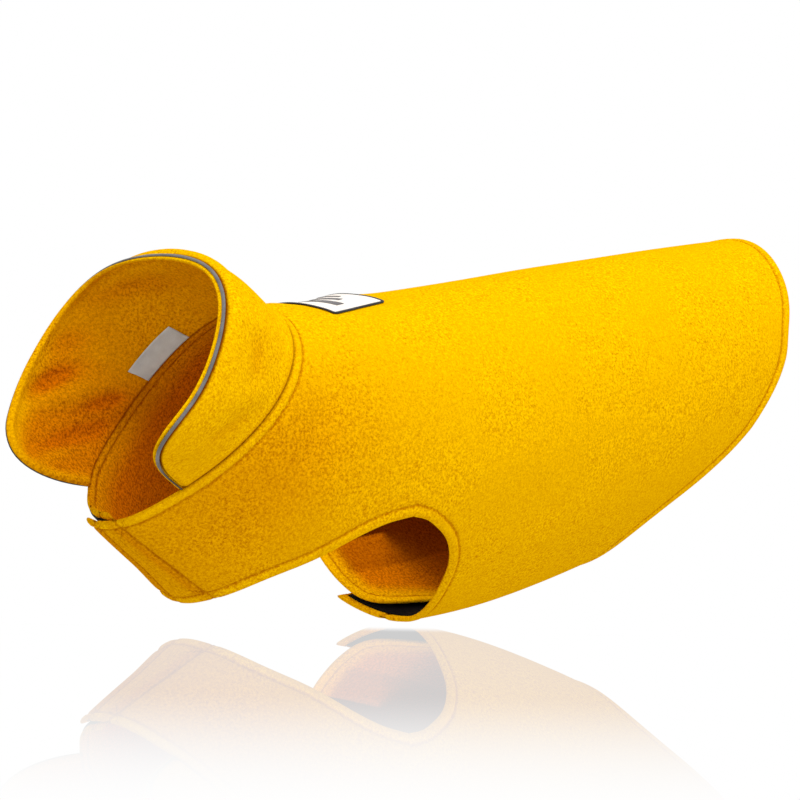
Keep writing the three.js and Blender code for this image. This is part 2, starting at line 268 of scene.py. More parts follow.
def net_between(first, last, shares):
    """A net with one row for each pair of places, and the same number of columns in each."""
    return first[:, None] + (last - first)[:, None] * shares[..., None]


def row_lengths(first, last):
    way = net_between(first, last, np.tile(np.linspace(0, 1, 13), (len(first), 1)))
    points = cloth(way, np.zeros(way.shape[:2]))
    return np.linalg.norm(np.diff(points, axis=1), axis=2).sum(1)


def body_net(first, last, cell, start, end, count=None):
    """Columns with close lines at true distances from both borders, however long the row."""
    long = row_lengths(first, last)
    count = count or max(4, round((long.max() - start[-1] - end[-1]) / cell))
    shares = []
    for length in long:
        squeeze = min(1, 0.45 * length / (start[-1] + end[-1] + 1e-6) * 2)
        a, b = np.array(start) * squeeze, np.array(end) * squeeze
        room = length - a[-1] - b[-1]
        middle = np.linspace(0, 1, count + 1)[1:-1] * room + a[-1]
        shares.append(np.concatenate([a, middle, length - b[::-1]]) / length)
    return net_between(first, last, np.array(shares)), count


def mirrored(net):
    return net * [1, -1]


def joined(nets):
    """Places that the nets share, merged, and the faces over them."""
    flat = np.concatenate([net.reshape(-1, 2) for net, _ in nets])
    keys = np.round(flat * [2e3, 50]).astype(np.int64)
    _, first, number = np.unique(keys, axis=0, return_index=True, return_inverse=True)
    number = number.ravel()
    faces, base = [], 0
    for net, hand in nets:
        rows, columns = net.shape[:2]
        n = number[base:base + rows * columns].reshape(rows, columns)
        base += rows * columns
        a, b, c, d = n[:-1, :-1].ravel(), n[:-1, 1:].ravel(), n[1:, 1:].ravel(), n[1:, :-1].ravel()
        faces.extend(zip(a, d, c, b) if hand > 0 else zip(a, b, c, d))
    kept = []
    for face in faces:
        corners = [v for k, v in enumerate(face) if v != face[k - 1]]
        if len(set(corners)) == len(corners) >= 3:
            kept.append([int(v) for v in corners])
    return flat[first], kept


def shell(outer, inner, faces):
    """One closed sheet: outer face, inner face and the rim between them."""
    count = len(outer)
    edges = {}
    for face in faces:
        for k, v in enumerate(face):
            edges[(face[k - 1], v)] = True
    whole = list(faces) + [[count + v for v in reversed(face)] for face in faces]
    for a, b in edges:
        if (b, a) not in edges:
            whole.append([b, a, count + a, count + b])
    return np.concatenate([outer, inner]), whole


def tube_faces(count, sides, closed):
    """Faces over the rings of a tube, which is a loop or has a cap at each end."""
    faces = []
    for ring in range(count if closed else count - 1):
        start, end = ring * sides, (ring + 1) % count * sides
        for k in range(sides):
            beside = (k + 1) % sides
            faces.append([start + k, end + k, end + beside, start + beside])
    if not closed:
        faces.append(list(range(sides)))
        faces.append([(count - 1) * sides + k for k in reversed(range(sides))])
    return faces


def make(name, points, faces, material, attributes=None):
    mesh = bpy.data.meshes.new(name)
    mesh.from_pydata((np.asarray(points) * MM).tolist(), [], faces)
    mesh.validate()
    mesh.update()
    mesh.shade_smooth()
    for key, values in (attributes or {}).items():
        layer = mesh.attributes.new(key, "FLOAT", "POINT")
        layer.data.foreach_set("value", np.asarray(values, np.float32))
    piece = bpy.data.objects.new(name, mesh)
    bpy.context.scene.collection.objects.link(piece)
    piece.data.materials.append(material)
    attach(piece, "root")
    return piece


def folds(table, across, up, across_size, up_size):
    """Height of soft troughs and ridges, each with its middle, run, half length, half width and height."""
    total = np.zeros(len(across))
    for at_across, at_up, run_across, run_up, long, wide, height in table:
        x, y = (across - at_across) * across_size, (up - at_up) * up_size
        run_x, run_y = run_across * across_size, run_up * up_size
        size = math.hypot(run_x, run_y)
        along, aside = (x * run_x + y * run_y) / size, (x * run_y - y * run_x) / size
        total += height * bell(along, long) * bell(aside, wide)
    return total


def distances(points, path):
    """How far each point lies from a path of close points."""
    tree = KDTree(len(path))
    for k, p in enumerate(path):
        tree.insert(Vector(p), k)
    tree.balance()
    return np.array([tree.find(Vector(p))[2] for p in points])


# Materials


def nodes_of(name):
    material = bpy.data.materials.new(name)
    material.use_nodes = True
    tree = material.node_tree
    shader = tree.nodes["Principled BSDF"]
    return material, tree, shader


def add(tree, kind, inputs=None, **settings):
    node = tree.nodes.new(kind)
    for key, value in settings.items():
        setattr(node, key, value)
    for key, value in (inputs or {}).items():
        if isinstance(value, bpy.types.NodeSocket):
            tree.links.new(value, node.inputs[key])
        else:
            node.inputs[key].default_value = value
    return node


def maths(tree, operation, *values):
    return add(tree, "ShaderNodeMath", dict(enumerate(values)), operation=operation).outputs[0]


def noise(tree, place, scale, detail, rough):
    inputs = {"Vector": place, "Scale": scale, "Detail": detail, "Roughness": rough}
    return add(tree, "ShaderNodeTexNoise", inputs).outputs["Fac"]


def attribute(tree, name):
    return add(tree, "ShaderNodeAttribute", attribute_name=name).outputs["Fac"]


def mixed_colour(tree, factor, first, second):
    return add(tree, "ShaderNodeMix", {"Factor": factor, 6: first, 7: second}, data_type="RGBA").outputs[2]


def centred(tree, value, scale):
    return maths(tree, "MULTIPLY", maths(tree, "SUBTRACT", value, 0.5), scale)


def weighted(tree, first, first_share, second, second_share):
    return maths(tree, "ADD", maths(tree, "MULTIPLY", first, first_share),
                 maths(tree, "MULTIPLY", second, second_share))


def set_bump(tree, shader, strength, distance, height):
    bump = add(tree, "ShaderNodeBump", {"Strength": strength, "Distance": distance, "Height": height})
    tree.links.new(bump.outputs["Normal"], shader.inputs["Normal"])


def ranged(tree, value, low, high, to_low, to_high):
    return add(tree, "ShaderNodeMapRange", {0: value, 1: low, 2: high, 3: to_low, 4: to_high},
               interpolation_type="SMOOTHSTEP").outputs[0]


def ramp(tree, value, stops):
    node = add(tree, "ShaderNodeValToRGB", {"Fac": value})
    for k, (place, colour) in enumerate(stops):
        stop = node.color_ramp.elements[k] if k < 2 else node.color_ramp.elements.new(place)
        stop.position = place
        stop.color = (*colour, 1)
    return node.outputs["Color"]


def object_place(tree):
    return tree.nodes.new("ShaderNodeTexCoord").outputs["Object"]


def fleece_material(name, colours, shaded_colours):
    """Brushed fleece: short nap in tufts of 1 to 2 mm, soft patches, and stitched grooves at seam lines, which are
    also darkened in colour as painted shade. A darker, more orange copy of the colours, mixed in by the 'inside'
    attribute, is painted shade, as is the brown mixed in by the 'shade' attribute."""
    material, tree, shader = nodes_of(name)
    place = object_place(tree)
    tufts = noise(tree, place, 520, 3, 0.6)
    nap = noise(tree, place, 1500, 2, 0.6)
    patches = noise(tree, place, 16, 2, 0.5)
    bend = noise(tree, place, 300, 1, 0.5)
    off_line = maths(tree, "ABSOLUTE", maths(tree, "ADD", attribute(tree, "seam"), centred(tree, bend, 1.6)))
    groove = ranged(tree, off_line, 0.0, 2.0, 1, 0)
    inside = attribute(tree, "inside")
    contrast = maths(tree, "ADD", ranged(tree, patches, 0.35, 0.65, 0.5, 1), maths(tree, "MULTIPLY", inside, 0.5))
    mottle = maths(tree, "ADD", centred(tree, tufts, contrast), centred(tree, nap, 0.45))
    # Painted shade: the tone darkens along the stitched grooves.
    tone = maths(tree, "SUBTRACT", maths(tree, "ADD", maths(tree, "MULTIPLY", mottle, 2.4), 0.64),
                 maths(tree, "MULTIPLY", groove, 0.5))
    # Painted shade: the 'inside' attribute mixes in the shaded copy of the colours, and the 'shade' attribute a
    # brown shade.
    faces = [ramp(tree, tone, [(0, deep), (1, bright)]) for deep, bright in (colours, shaded_colours)]
    shaded = mixed_colour(tree, attribute(tree, "shade"), mixed_colour(tree, inside, *faces), SHADE_BROWN)
    tree.links.new(shaded, shader.inputs["Base Color"])
    height = maths(tree, "SUBTRACT", weighted(tree, tufts, 0.8, nap, 0.35), maths(tree, "MULTIPLY", groove, 0.9))
    set_bump(tree, shader, 0.55, 0.0009, height)
    shader.inputs["Roughness"].default_value = 0.95
    shader.inputs["Specular IOR Level"].default_value = 0
    shader.inputs["Sheen Weight"].default_value = 0.06
    shader.inputs["Sheen Roughness"].default_value = 0.5
    shader.inputs["Sheen Tint"].default_value = (1, 0.6, 0.02, 1)
    return material


def piping_material():
    """Grey satin cord: fine bands across the run and a soft shine, with painted shade toward black mixed in by its
    'shade' attribute.
    """
    material, tree, shader = nodes_of("satin_cord")
    place = object_place(tree)
    threads = noise(tree, place, 1800, 2, 0.5)
    patches = noise(tree, place, 90, 2, 0.5)
    tone = weighted(tree, threads, 0.5, patches, 0.5)
    grey = ramp(tree, tone, [(0.3, (0.06, 0.062, 0.068)), (0.75, (0.21, 0.215, 0.22))])
    shaded = mixed_colour(tree, attribute(tree, "shade"), grey, (0.012, 0.011, 0.01, 1))
    tree.links.new(shaded, shader.inputs["Base Color"])
    set_bump(tree, shader, 0.3, 0.0003, threads)
    shader.inputs["Roughness"].default_value = 0.42
    return material


def tape_material(name, hooks):
    """Black hook or loop tape: rows of hooks 1.2 mm apart, or matted loops."""
    material, tree, shader = nodes_of(name)
    place = object_place(tree)
    if hooks:
        cells = add(tree, "ShaderNodeTexVoronoi", {"Vector": place, "Scale": 800, "Randomness": 0.15})
        height = ranged(tree, cells.outputs["Distance"], 0.15, 0.5, 1, 0)
    else:
        height = noise(tree, place, 1400, 4, 0.7)
    tree.links.new(ramp(tree, height, [(0.2, (0.001, 0.001, 0.0015)), (0.9, (0.006, 0.006, 0.008))]),
                   shader.inputs["Base Color"])
    set_bump(tree, shader, 0.7, 0.0006, height)
    shader.inputs["Roughness"].default_value = 0.8
    shader.inputs["Specular IOR Level"].default_value = 0.15
    return material


def woven_material(name, dark, light, rough):
    """Close weave: two sets of fine bands crossed, with slight soiling."""
    material, tree, shader = nodes_of(name)
    place = object_place(tree)
    wave = {"Vector": place, "Scale": 2200, "Distortion": 0.6, "Detail": 1}
    bands = [add(tree, "ShaderNodeTexWave", wave, bands_direction=way).outputs["Fac"] for way in "XY"]
    weave = maths(tree, "MULTIPLY", maths(tree, "ADD", *bands), 0.5)
    cloud = noise(tree, place, 130, 3, 0.5)
    tone = weighted(tree, weave, 0.4, cloud, 0.6)
    tree.links.new(ramp(tree, tone, [(0.2, dark), (0.8, light)]), shader.inputs["Base Color"])
    set_bump(tree, shader, 0.3, 0.0002, weave)
    shader.inputs["Roughness"].default_value = rough
    shader.inputs["Specular IOR Level"].default_value = 0.5
    return material


YELLOW = ((0.52, 0.19, 0.0), (0.99, 0.64, 0.0))
# Painted shade: a darker, more orange copy of the yellow for shaded faces and hollows.
SHADED_YELLOW = ((0.26, 0.052, 0.0), (0.69, 0.195, 0.0))
# Painted shade: a dark brown for shade in seam lines, beside the piping and under the fold in the leg openings.
SHADE_BROWN = (0.14, 0.012, 0.0, 1)
fleece = fleece_material("yellow_fleece", YELLOW, SHADED_YELLOW)
satin_cord = piping_material()
loop_tape = tape_material("loop_tape", False)
hook_tape = tape_material("hook_tape", True)
label_satin = woven_material("label_satin", (0.4, 0.54, 0.66), (0.66, 0.84, 0.96), 0.35)
patch_white = woven_material("patch_weave", (0.82, 0.82, 0.81), (0.93, 0.93, 0.92), 0.7)
patch_black = woven_material("overlock_thread", (0.004, 0.004, 0.005), (0.02, 0.02, 0.022), 0.6)
patch_grey = woven_material("bar_thread", (0.08, 0.08, 0.09), (0.16, 0.16, 0.17), 0.6)


# Body

back_rows = lines(190, CELL, (0,), [0, 2, 4, 6, 7.6, 9, 10.4, 13])
angles = back_rows * ARM_TOP[1]
neck_line = np.stack([np.full_like(angles, NECK_RING), angles], -1)
arm_line = np.stack([np.full_like(angles, ARM_TOP[0]), angles], -1)
hem_line = border(HEM, back_rows)
front_back, front_count = body_net(neck_line, arm_line, CELL, EDGE_LINES, EDGE_LINES)
rear_back, rear_count = body_net(arm_line, hem_line, CELL, EDGE_LINES, EDGE_LINES)
left_back = np.concatenate([front_back, rear_back[:, 1:]], 1)

chest_rows = lines(150, CHEST_CELL, (0,), END_LINES)
belly_rows = lines(190, CELL, (0,), END_LINES)
left_chest, _ = body_net(chest_neck(chest_rows), chest_arm(chest_rows), CELL, EDGE_LINES, EDGE_LINES, front_count)
left_belly, _ = body_net(left_belly_arm(belly_rows), belly_hem(belly_rows), CELL, EDGE_LINES, EDGE_LINES,
                         rear_count)
right_belly, _ = body_net(right_belly_arm(belly_rows), belly_hem(belly_rows), CELL, EDGE_LINES, EDGE_LINES,
                          rear_count)
back = np.concatenate([mirrored(left_back)[:0:-1], left_back])
places, faces = joined([
    (back, 1), (left_chest, 1), (left_belly, 1), (mirrored(left_chest), -1), (mirrored(right_belly), -1),
])
middle = cloth(places, np.full(len(places), -FLEECE / 2))


def body_path(spots):
    """Close points along an edge of the cloth, at half its thickness."""
    steps = [np.linspace(start, end, 8)[:-1] for start, end in zip(spots, spots[1:])]
    fine = np.concatenate([*steps, spots[-1:]])
    return cloth(fine, np.full(len(fine), -FLEECE / 2))


def edge_distances(hand, belly):
    """How far the cloth of one side lies from that side's own neck, hem, leg and end edges."""
    chest, half = left_chest * [1, hand], left_back * [1, hand]
    belly = belly * [1, hand]
    neck = np.concatenate([half[:, 0], chest[1:, 0]])
    hem = np.concatenate([half[:, -1], belly[1:, -1]])
    paths = [body_path(neck), body_path(hem), np.concatenate([body_path(chest[:, -1]), body_path(belly[:, 0])]),
             np.concatenate([body_path(chest[-1]), body_path(belly[-1])])]
    mine = places[:, 1] * hand >= -1e-6
    return mine, [distances(middle[mine], path) for path in paths]


to_edges = np.full((4, len(places)), 1e3)
for hand, belly in ((1, left_belly), (-1, right_belly)):
    mine, found = edge_distances(hand, belly)
    to_edges[:, mine] = np.minimum(to_edges[:, mine], found)
to_neck, to_hem, to_arm, to_end = to_edges
to_edge = np.minimum.reduce([to_neck, to_hem, to_arm, to_end])
side_seam = np.minimum.reduce([to_neck - NECK_STITCH, to_hem - HEM_STITCH, to_arm - HEM_STITCH])
ring, side = places[:, 0], np.abs(places[:, 1])
chest_line = (CHEST_LINE[0] - CHEST_LINE[1] * ring - side) * CHEST_DEGREE
chest_rim_line = (CHEST_RIM_LINE - side) * CHEST_DEGREE
chest_seam = np.where(np.abs(chest_line) < np.abs(chest_rim_line), chest_line, chest_rim_line)
end_seam = np.where(ring < CHEST_END, chest_seam, to_end - BELLY_END_STITCH)
seam = np.where(np.abs(side_seam) < np.abs(end_seam), side_seam, end_seam)


# Main folds of the trunk: ring, angle, run in rings and degrees, half length, half width and height in mm.
BODY_CREASES = [
    [1.9, 70, 0.2, 30, 60, 13, -1.6],
    [2.5, 60, 0.5, 30, 70, 16, 1.2],
    [3.0, 88, 0.6, 22, 50, 13, -1.3],
    [3.5, 60, 1, 20, 60, 20, 0.9],
    [5.0, 90, 1, -14, 70, 18, 0.9],
    [6.2, 105, 1, -8, 80, 20, -1.1],
    [7.6, 88, 1, -16, 80, 22, 0.8],
    [8.3, 60, 0.6, 20, 60, 18, -0.8],
    [2.0, -65, 0.3, -30, 60, 13, -1.5],
    [2.7, -85, 0.6, -24, 55, 15, 1.2],
    [4.3, -70, 1, -14, 70, 18, -1.0],
    [6.0, -95, 1, 10, 80, 20, 1.0],
    [7.5, -70, 1, -14, 80, 20, -1.0],
    [6.6, -146.5, 1, 0, 85, 5, 1.6],
    [6.6, -141, 1, 0, 85, 5, -1.0],
    [5.75, -152, 1, 6, 14, 4, 1.2],
    [1.5, -160, 0.3, 20, 20, 7, -1.2],
    [1.42, -6, 0, 1, 26, 20, 4.5],
    [2.4, 24, 1, 0, 60, 17, 2.5],
    [2.9, -16, 0, 1, 18, 24, 2.6],
]


def creases(places):
    return folds(BODY_CREASES, places[:, 0], places[:, 1], RING_STEP, DEGREE)


form = creases(places) * smoothstep(to_edge, 0, 14)
groove = 0.8 * bell(side_seam, 1.4) + 0.9 * bell(end_seam, 1.8)
puff = 0.9 * smoothstep(to_edge, 0.2, 3) * smoothstep(-side_seam, 0, 4)
drop = edge_round(to_edge, 1.35, 1.6)
outer = cloth(places, form + puff - groove - drop)
inner = cloth(places, form - 0.5 * puff + groove + drop - FLEECE)
points, whole = shell(outer, inner, faces)

# Painted shade: the inner face is darker away from its openings and less so near the neck, and the outer one over
# the shoulders and beside the chest flap's end stitch line.
wall = smoothstep(np.minimum.reduce([to_arm, to_hem, to_end]), 4, 30)
depth = (0.3 + 0.7 * wall) * (1 - 0.35 * smoothstep(to_neck, 36, 8))
outer_shade = 0.34 * smoothstep(ring, 4.6, 1.8) * smoothstep(side, 25, 100)
outer_shade += 0.14 * bell((ring - 1.8) * RING_STEP, 60) * bell((side - 105) * DEGREE, 60)
outer_shade *= smoothstep(to_neck, 7, 10) * smoothstep(to_arm, 7, 11)
outer_shade += 0.3 * bell(end_seam + 4, 3.5) * smoothstep(CHEST_END - ring, 0, 0.1)
inside = np.concatenate([outer_shade, depth])
# Painted shade: a dark line along the neck seam, and a dark band on the inner wall above the belly crease inside
# the leg openings.
shade = 0.35 * bell(to_neck, 1.2)
under_fold_shade = 0.36 * smoothstep(side, 147, 145.8) * smoothstep(ring, 4.6, 5.1) * smoothstep(to_arm, 15, 23)
shade = np.concatenate([shade, shade + under_fold_shade])
coat_body = make("coat_body", points, whole, fleece, {"seam": np.tile(seam, 2), "inside": inside, "shade": shade})
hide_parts("body_panel")


# Collar


def collar_rim(inset, corner_shares, middle_shares):
    height = COLLAR_HEIGHT - inset
    first = COLLAR_LEAN[0, 0] + inset / DEGREE_AT_NECK
    last = COLLAR_LEAN[-1, 0] - inset / DEGREE_AT_NECK

    def corner(end, reach, tall, ease, hand):
        turn = corner_shares * math.pi / 2
        across = (reach - inset) * (1 - np.cos(turn)) ** ease / DEGREE_AT_NECK
        return np.stack([end + hand * across, height - (tall - inset) * (1 - np.sin(turn))], -1)

    right, left = corner(first, *RIGHT_CORNER, 1), corner(last, *LEFT_CORNER, -1)[::-1]
    across = right[-1] + (left[0] - right[-1]) * middle_shares[:, None]
    return np.concatenate([right, across[1:-1], left])


corner_shares = np.linspace(0, 1, 19)
middle_shares = np.linspace(0, 1, 120)
rim = collar_rim(0, corner_shares, middle_shares)
inset_rim = collar_rim(RIM_INSET, corner_shares, middle_shares)


def seam_places(edge):
    shares = np.linspace(0, 1, len(edge))
    return np.stack([edge[0, 0] + shares * (edge[-1, 0] - edge[0, 0]), np.zeros(len(edge))], -1)


collar_shares = lines(COLLAR_HEIGHT, COLLAR_CELL, SEAM_LINES, RIM_LINES)
outer_net = net_between(seam_places(inset_rim), inset_rim, np.tile(collar_shares, (len(rim), 1)))
ends = [np.stack([np.full(len(outer_net[k]), rim[k, 0]), outer_net[k][:, 1]], -1) for k in (0, -1)]
inner_net = np.concatenate([outer_net, rim[:, None]], 1)
inner_net = np.concatenate([[np.concatenate([ends[0], rim[:1]])], inner_net, [np.concatenate([ends[1], rim[-1:]])]])


def collar_middle(places):
    return collar(places, np.full(places.shape[:-1], INNER_LAYER / 2))


# Folds of the collar: angle, rise, run in degrees and mm, half length, half width and height in mm.
COLLAR_CREASES = [
    [-97, 66, 17.5, -30, 20, 6.5, 3.2],
    [-101, 50, 14, -38, 26, 8, -2.4],
    [-79, 68, 8, -22, 18, 10, 2],
    [-118, 28, 16, -43, 26, 6.5, 3.4],
    [-127, 40, 16, -40, 22, 8, -1.6],
    [-97.5, 17, 8, -17, 15, 5, 2],
    [-42, 58, 33, -30, 34, 9, 1.6],
    [-20, 64, 33, -20, 34, 9, -1.0],
    [-5, 50, 10, -14, 24, 9, 0.9],
    [54, 66, 2, 26, 20, 8, 1.8],
    [66, 44, 14, -12, 16, 9, -3],
    [84, 36, 6, 26, 24, 10, 1.6],
    [100, 30, 14, 14, 18, 8, -2],
    [116, 48, 10, 24, 18, 9, 1.4],
]


def collar_creases(places):
    return folds(COLLAR_CREASES, places[:, 0], places[:, 1], DEGREE_AT_NECK, 1)


def collar_piece(name, net, outer_lift, inner_lift, node, is_outer):
    spots, faces = joined([(net, -1)])
    rim_path = collar_middle(np.concatenate([net[0], net[:, -1], net[-1][::-1]]))
    to_rim = distances(collar_middle(spots), rim_path)
    to_seam = spots[:, 1]
    edge = np.minimum(to_rim, to_seam)
    fold = collar_creases(spots) * smoothstep(edge, 0, 12)
    ridge = 2 * smoothstep(-np.abs(spots[:, 0]), -95, -30) + 3.4 * bell(spots[:, 0] + 20, 32)
    form = fold + ridge * bell(to_rim - 9, 7) * smoothstep(to_rim, 0, 6)
    roll = 1.8 * bell(to_rim - 3.6, 3) * smoothstep(to_seam, 0, 6)
    dip = 0.9 * bell(to_seam, 2.5)
    round_edge = edge_round(to_rim, 1.2, 1.8)
    if is_outer:
        hem = 0.5 * bell(to_rim - 4, 2.5) + 1.2 * bell(to_seam - 6.5, 4)
        top = collar(spots, form + hem - dip - round_edge + outer_lift)
        under = collar(spots, form + inner_lift)
        seam = np.minimum(to_seam - 0.2, to_rim - 0.1)
    else:
        top = collar(spots, form + outer_lift)
        under = collar(spots, form - roll + dip + round_edge + inner_lift)
        seam = np.minimum(to_seam - 0.2, np.full_like(to_seam, 50))
    points, whole = shell(top, under, faces)
    # Painted shade: the inner face deepens in colour to the right, below the rim of its right front, away from the
    # rim and in its folds' troughs; the outer face darkens in its troughs and in a line along the rim by the
    # piping, and both along the neck seam.
    right = -spots[:, 0]
    low = smoothstep(right, 75, 100) * smoothstep(to_seam, 82, 62)
    far = 0.6 * smoothstep(right, 0, 45)
    depth = 0.33 + 0.14 * smoothstep(right, 30, 80) + 0.4 * low
    depth *= far + (1 - far) * smoothstep(to_rim, 4, 15)
    inside = np.clip(-0.1 * fold, 0, 0.3) if is_outer else np.clip(depth + 0.14 * np.clip(fold, -1.5, 2), 0, 1)
    shade = 0.85 * bell(to_rim, 1.7) * is_outer + 0.3 * bell(to_seam, 1)
    attributes = {"seam": np.tile(seam, 2), "inside": np.tile(inside, 2), "shade": np.tile(shade, 2)}
    piece = make(name, points, whole, fleece, attributes)
    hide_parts(node)


collar_piece("collar_outside", outer_net, 0, -COLLAR_LAYER, "collar_outer", True)
collar_piece("collar_inside", inner_net, INNER_LAYER, INNER_LAYER - COLLAR_LAYER, "collar_inner", False)

# Piping: a cord between the layers, thinner on the right side and down to the neck seam, and darkened there by
# painted shade.

edge_walk = np.concatenate([outer_net[0][:-1], rim, outer_net[-1][-2::-1]])
edge_walk[:len(outer_net[0]) - 1, 0] = rim[0, 0]
edge_walk[-(len(outer_net[0]) - 1):, 0] = rim[-1, 0]
inset_walk = np.concatenate([outer_net[0][:-1], inset_rim, outer_net[-1][-2::-1]])
shown = smoothstep(edge_walk[:, 0], -80, -54) * smoothstep(edge_walk[:, 1], 22, 60)
cord = PIPING_RADIUS * (0.5 + 0.46 * shown)
rings = []
for k in range(PIPING_SIDES):
    turn = 2 * math.pi * k / PIPING_SIDES
    share = (PIPING_RADIUS + SEAM_GAP + cord * math.sin(turn)) / RIM_INSET
    lift = -PIPING_RADIUS + PIPING_PROUD + cord * math.cos(turn)
    walk = edge_walk + (inset_walk - edge_walk) * share[:, None]
    rings.append(collar(walk, lift))
rings = np.stack(rings, 1)
piping = make("rim_piping", rings.reshape(-1, 3), tube_faces(len(rings), PIPING_SIDES, False), satin_cord,
              {"shade": np.repeat(0.85 * (1 - shown), PIPING_SIDES)})
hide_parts("collar_piping")

# Tapes


def span(low, high, size):
    return np.linspace(low, high, max(8, round((high - low) * size / TAPE_CELL)))


def tape_net(first, last, net_size, row_range, column_range):
    """A fine net over part of a solid's net, given by rows and columns of that net."""
    at_rows = span(*row_range, NET_ROW) / net_size[0]
    at_columns = span(*column_range, NET_COLUMN) / net_size[1]
    return net_between(first(at_rows), last(at_rows), np.tile(at_columns, (len(at_rows), 1)))


# Node, piece, edges and size of the solid's net, rows and columns under the tape, whether it lies inside,
# and its flat size and area in metres.
TAPES = [
    ("chest_loop", "left_chest_tape", chest_neck, chest_arm, CHEST_NET, (6.9, 8.7), (1.25, 8.8), True,
     (0.032, 0.079), 0.0021),
    ("chest_hook", "right_chest_tape", chest_neck, chest_arm, CHEST_NET, (5.6, 8.6), (0.55, 8.8), False,
     (0.055, 0.082), 0.0036),
    ("belly_loop", "left_belly_tape", left_belly_arm, belly_hem, BELLY_NET, (6.5, 11.8), (0.9, 20), True,
     (0.102, 0.171), 0.0147),
    ("belly_hook", "right_belly_tape", right_belly_arm, belly_hem, BELLY_NET, (6.2, 11.6), (1.3, 20), False,
     (0.131, 0.179), 0.0108),
]
for node, name, first, last, net_size, row_range, column_range, inside, flat, area in TAPES:
    net = tape_net(first, last, net_size, row_range, column_range)
    if not inside:
        net = mirrored(net)
    spots, faces = joined([(net, 1 if inside else -1)])
    edge = np.concatenate([net[0], net[:, -1], net[-1][::-1], net[::-1, 0]])
    path = cloth(edge, np.zeros(len(edge)))
    fine_path = np.concatenate([np.linspace(start, end, 4)[:-1] for start, end in zip(path, path[1:])])
    to_rim = distances(cloth(spots, np.zeros(len(spots))), fine_path)
    drop = edge_round(to_rim, 0.6, 0.9)
    face = -FLEECE - SEAM_GAP if inside else SEAM_GAP + TAPE
    outer = cloth(spots, face if inside else face - drop)
    inner = cloth(spots, face - TAPE + drop if inside else np.full(len(spots), face - TAPE))
    points, whole = shell(outer, inner, faces)
    piece = make(name, points, whole, loop_tape if inside else hook_tape)
    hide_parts(node)

# Label and patch: their corners are rows and columns of the solids' nets.


def spot(net, row, column):
    """Places between the rows and columns of a net."""
    r = np.clip(np.floor(row).astype(int), 0, net.shape[0] - 2)
    c = np.clip(np.floor(column).astype(int), 0, net.shape[1] - 2)
    y, x = (row - r)[..., None], (column - c)[..., None]
    near = net[r, c] * (1 - x) + net[r, c + 1] * x
    return near * (1 - y) + (net[r + 1, c] * (1 - x) + net[r + 1, c + 1] * x) * y


def even(count):
    return np.linspace(0, 1, count + 1)


solid_rim = collar_rim(RIM_INSET, even(8), even(16))
collar_net = net_between(seam_places(solid_rim), solid_rim, np.tile(even(COLLAR_NET_COLUMNS), (len(solid_rim), 1)))
along, up = np.meshgrid(even(30), even(13), indexing="ij")
label_rows = 7.34 + 3.58 * along + (0.82 - 0.32 * along) * up
label_spots, label_faces = joined([(spot(collar_net, label_rows, 0.15 + 1.08 * up), -1)])
label_form = collar_creases(label_spots)
free = smoothstep(label_spots[:, 1], 6, 20)
label_lift = label_form + INNER_LAYER - COLLAR_LAYER - SEAM_GAP - LABEL_CLOTH - 0.9 * free ** 2
points, whole = shell(collar(label_spots, label_lift), collar(label_spots, label_lift - LABEL_CLOTH), label_faces)
label = make("neck_label", points, whole, label_satin)
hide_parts("size_label")

half_angles = even(BACK_NET) * ARM_TOP[1]
half_rows = len(half_angles)
half_front = net_between(np.stack([np.full(half_rows, NECK_RING), half_angles], -1),
                         np.stack([np.full(half_rows, ARM_TOP[0]), half_angles], -1),
                         np.tile(even(FRONT_COLUMNS), (half_rows, 1)))
half_rear = net_between(half_front[:, -1], border(HEM, even(BACK_NET)), np.tile(even(REAR_COLUMNS), (half_rows, 1)))
solid_half = np.concatenate([half_front, half_rear[:, 1:]], 1)
solid_back = np.concatenate([mirrored(solid_half)[:0:-1], solid_half])
PATCH_CORNERS = np.array([[[7.65, 2.1], [10.9, 3.1]], [[6.8, 5.9], [10.2, 6.5]]])


def patch_place(u, v):
    """A place on the back: u runs from the front edge to the rear one, v from right to left."""
    front, rear = (start + (end - start) * v[..., None] for start, end in PATCH_CORNERS)
    at = front + (rear - front) * u[..., None]
    return spot(solid_back, at[..., 0], at[..., 1])


def on_back(places, lift):
    return cloth(places, creases(places.reshape(-1, 2)).reshape(places.shape[:-1]) + lift)


def patch_sheet(name, u_range, v_range, low, high, material, cells=30):
    """A sheet over part of the patch, from one height above the back to another."""
    u, v = np.meshgrid(np.linspace(*u_range, cells), np.linspace(*v_range, cells), indexing="ij")
    net = patch_place(u, v)
    spots, faces = joined([(net.transpose(1, 0, 2), 1)])
    points, whole = shell(on_back(spots, high), on_back(spots, low), faces)
    return make(name, points, whole, material)


field = patch_sheet("patch_field", (0.03, 0.97), (0.03, 0.97), SEAM_GAP, PATCH_TOP, patch_white)
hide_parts("back_patch")
for number, (u_low, u_high, v_low, v_high) in enumerate([
        (0.30, 0.44, 0.22, 0.78), (0.55, 0.64, 0.22, 0.62), (0.74, 0.79, 0.22, 0.50)]):
    bar = patch_sheet(f"patch_bar_{number + 1}", (u_low, u_high), (v_low, v_high), 1.1, 1.5, patch_grey, 10)

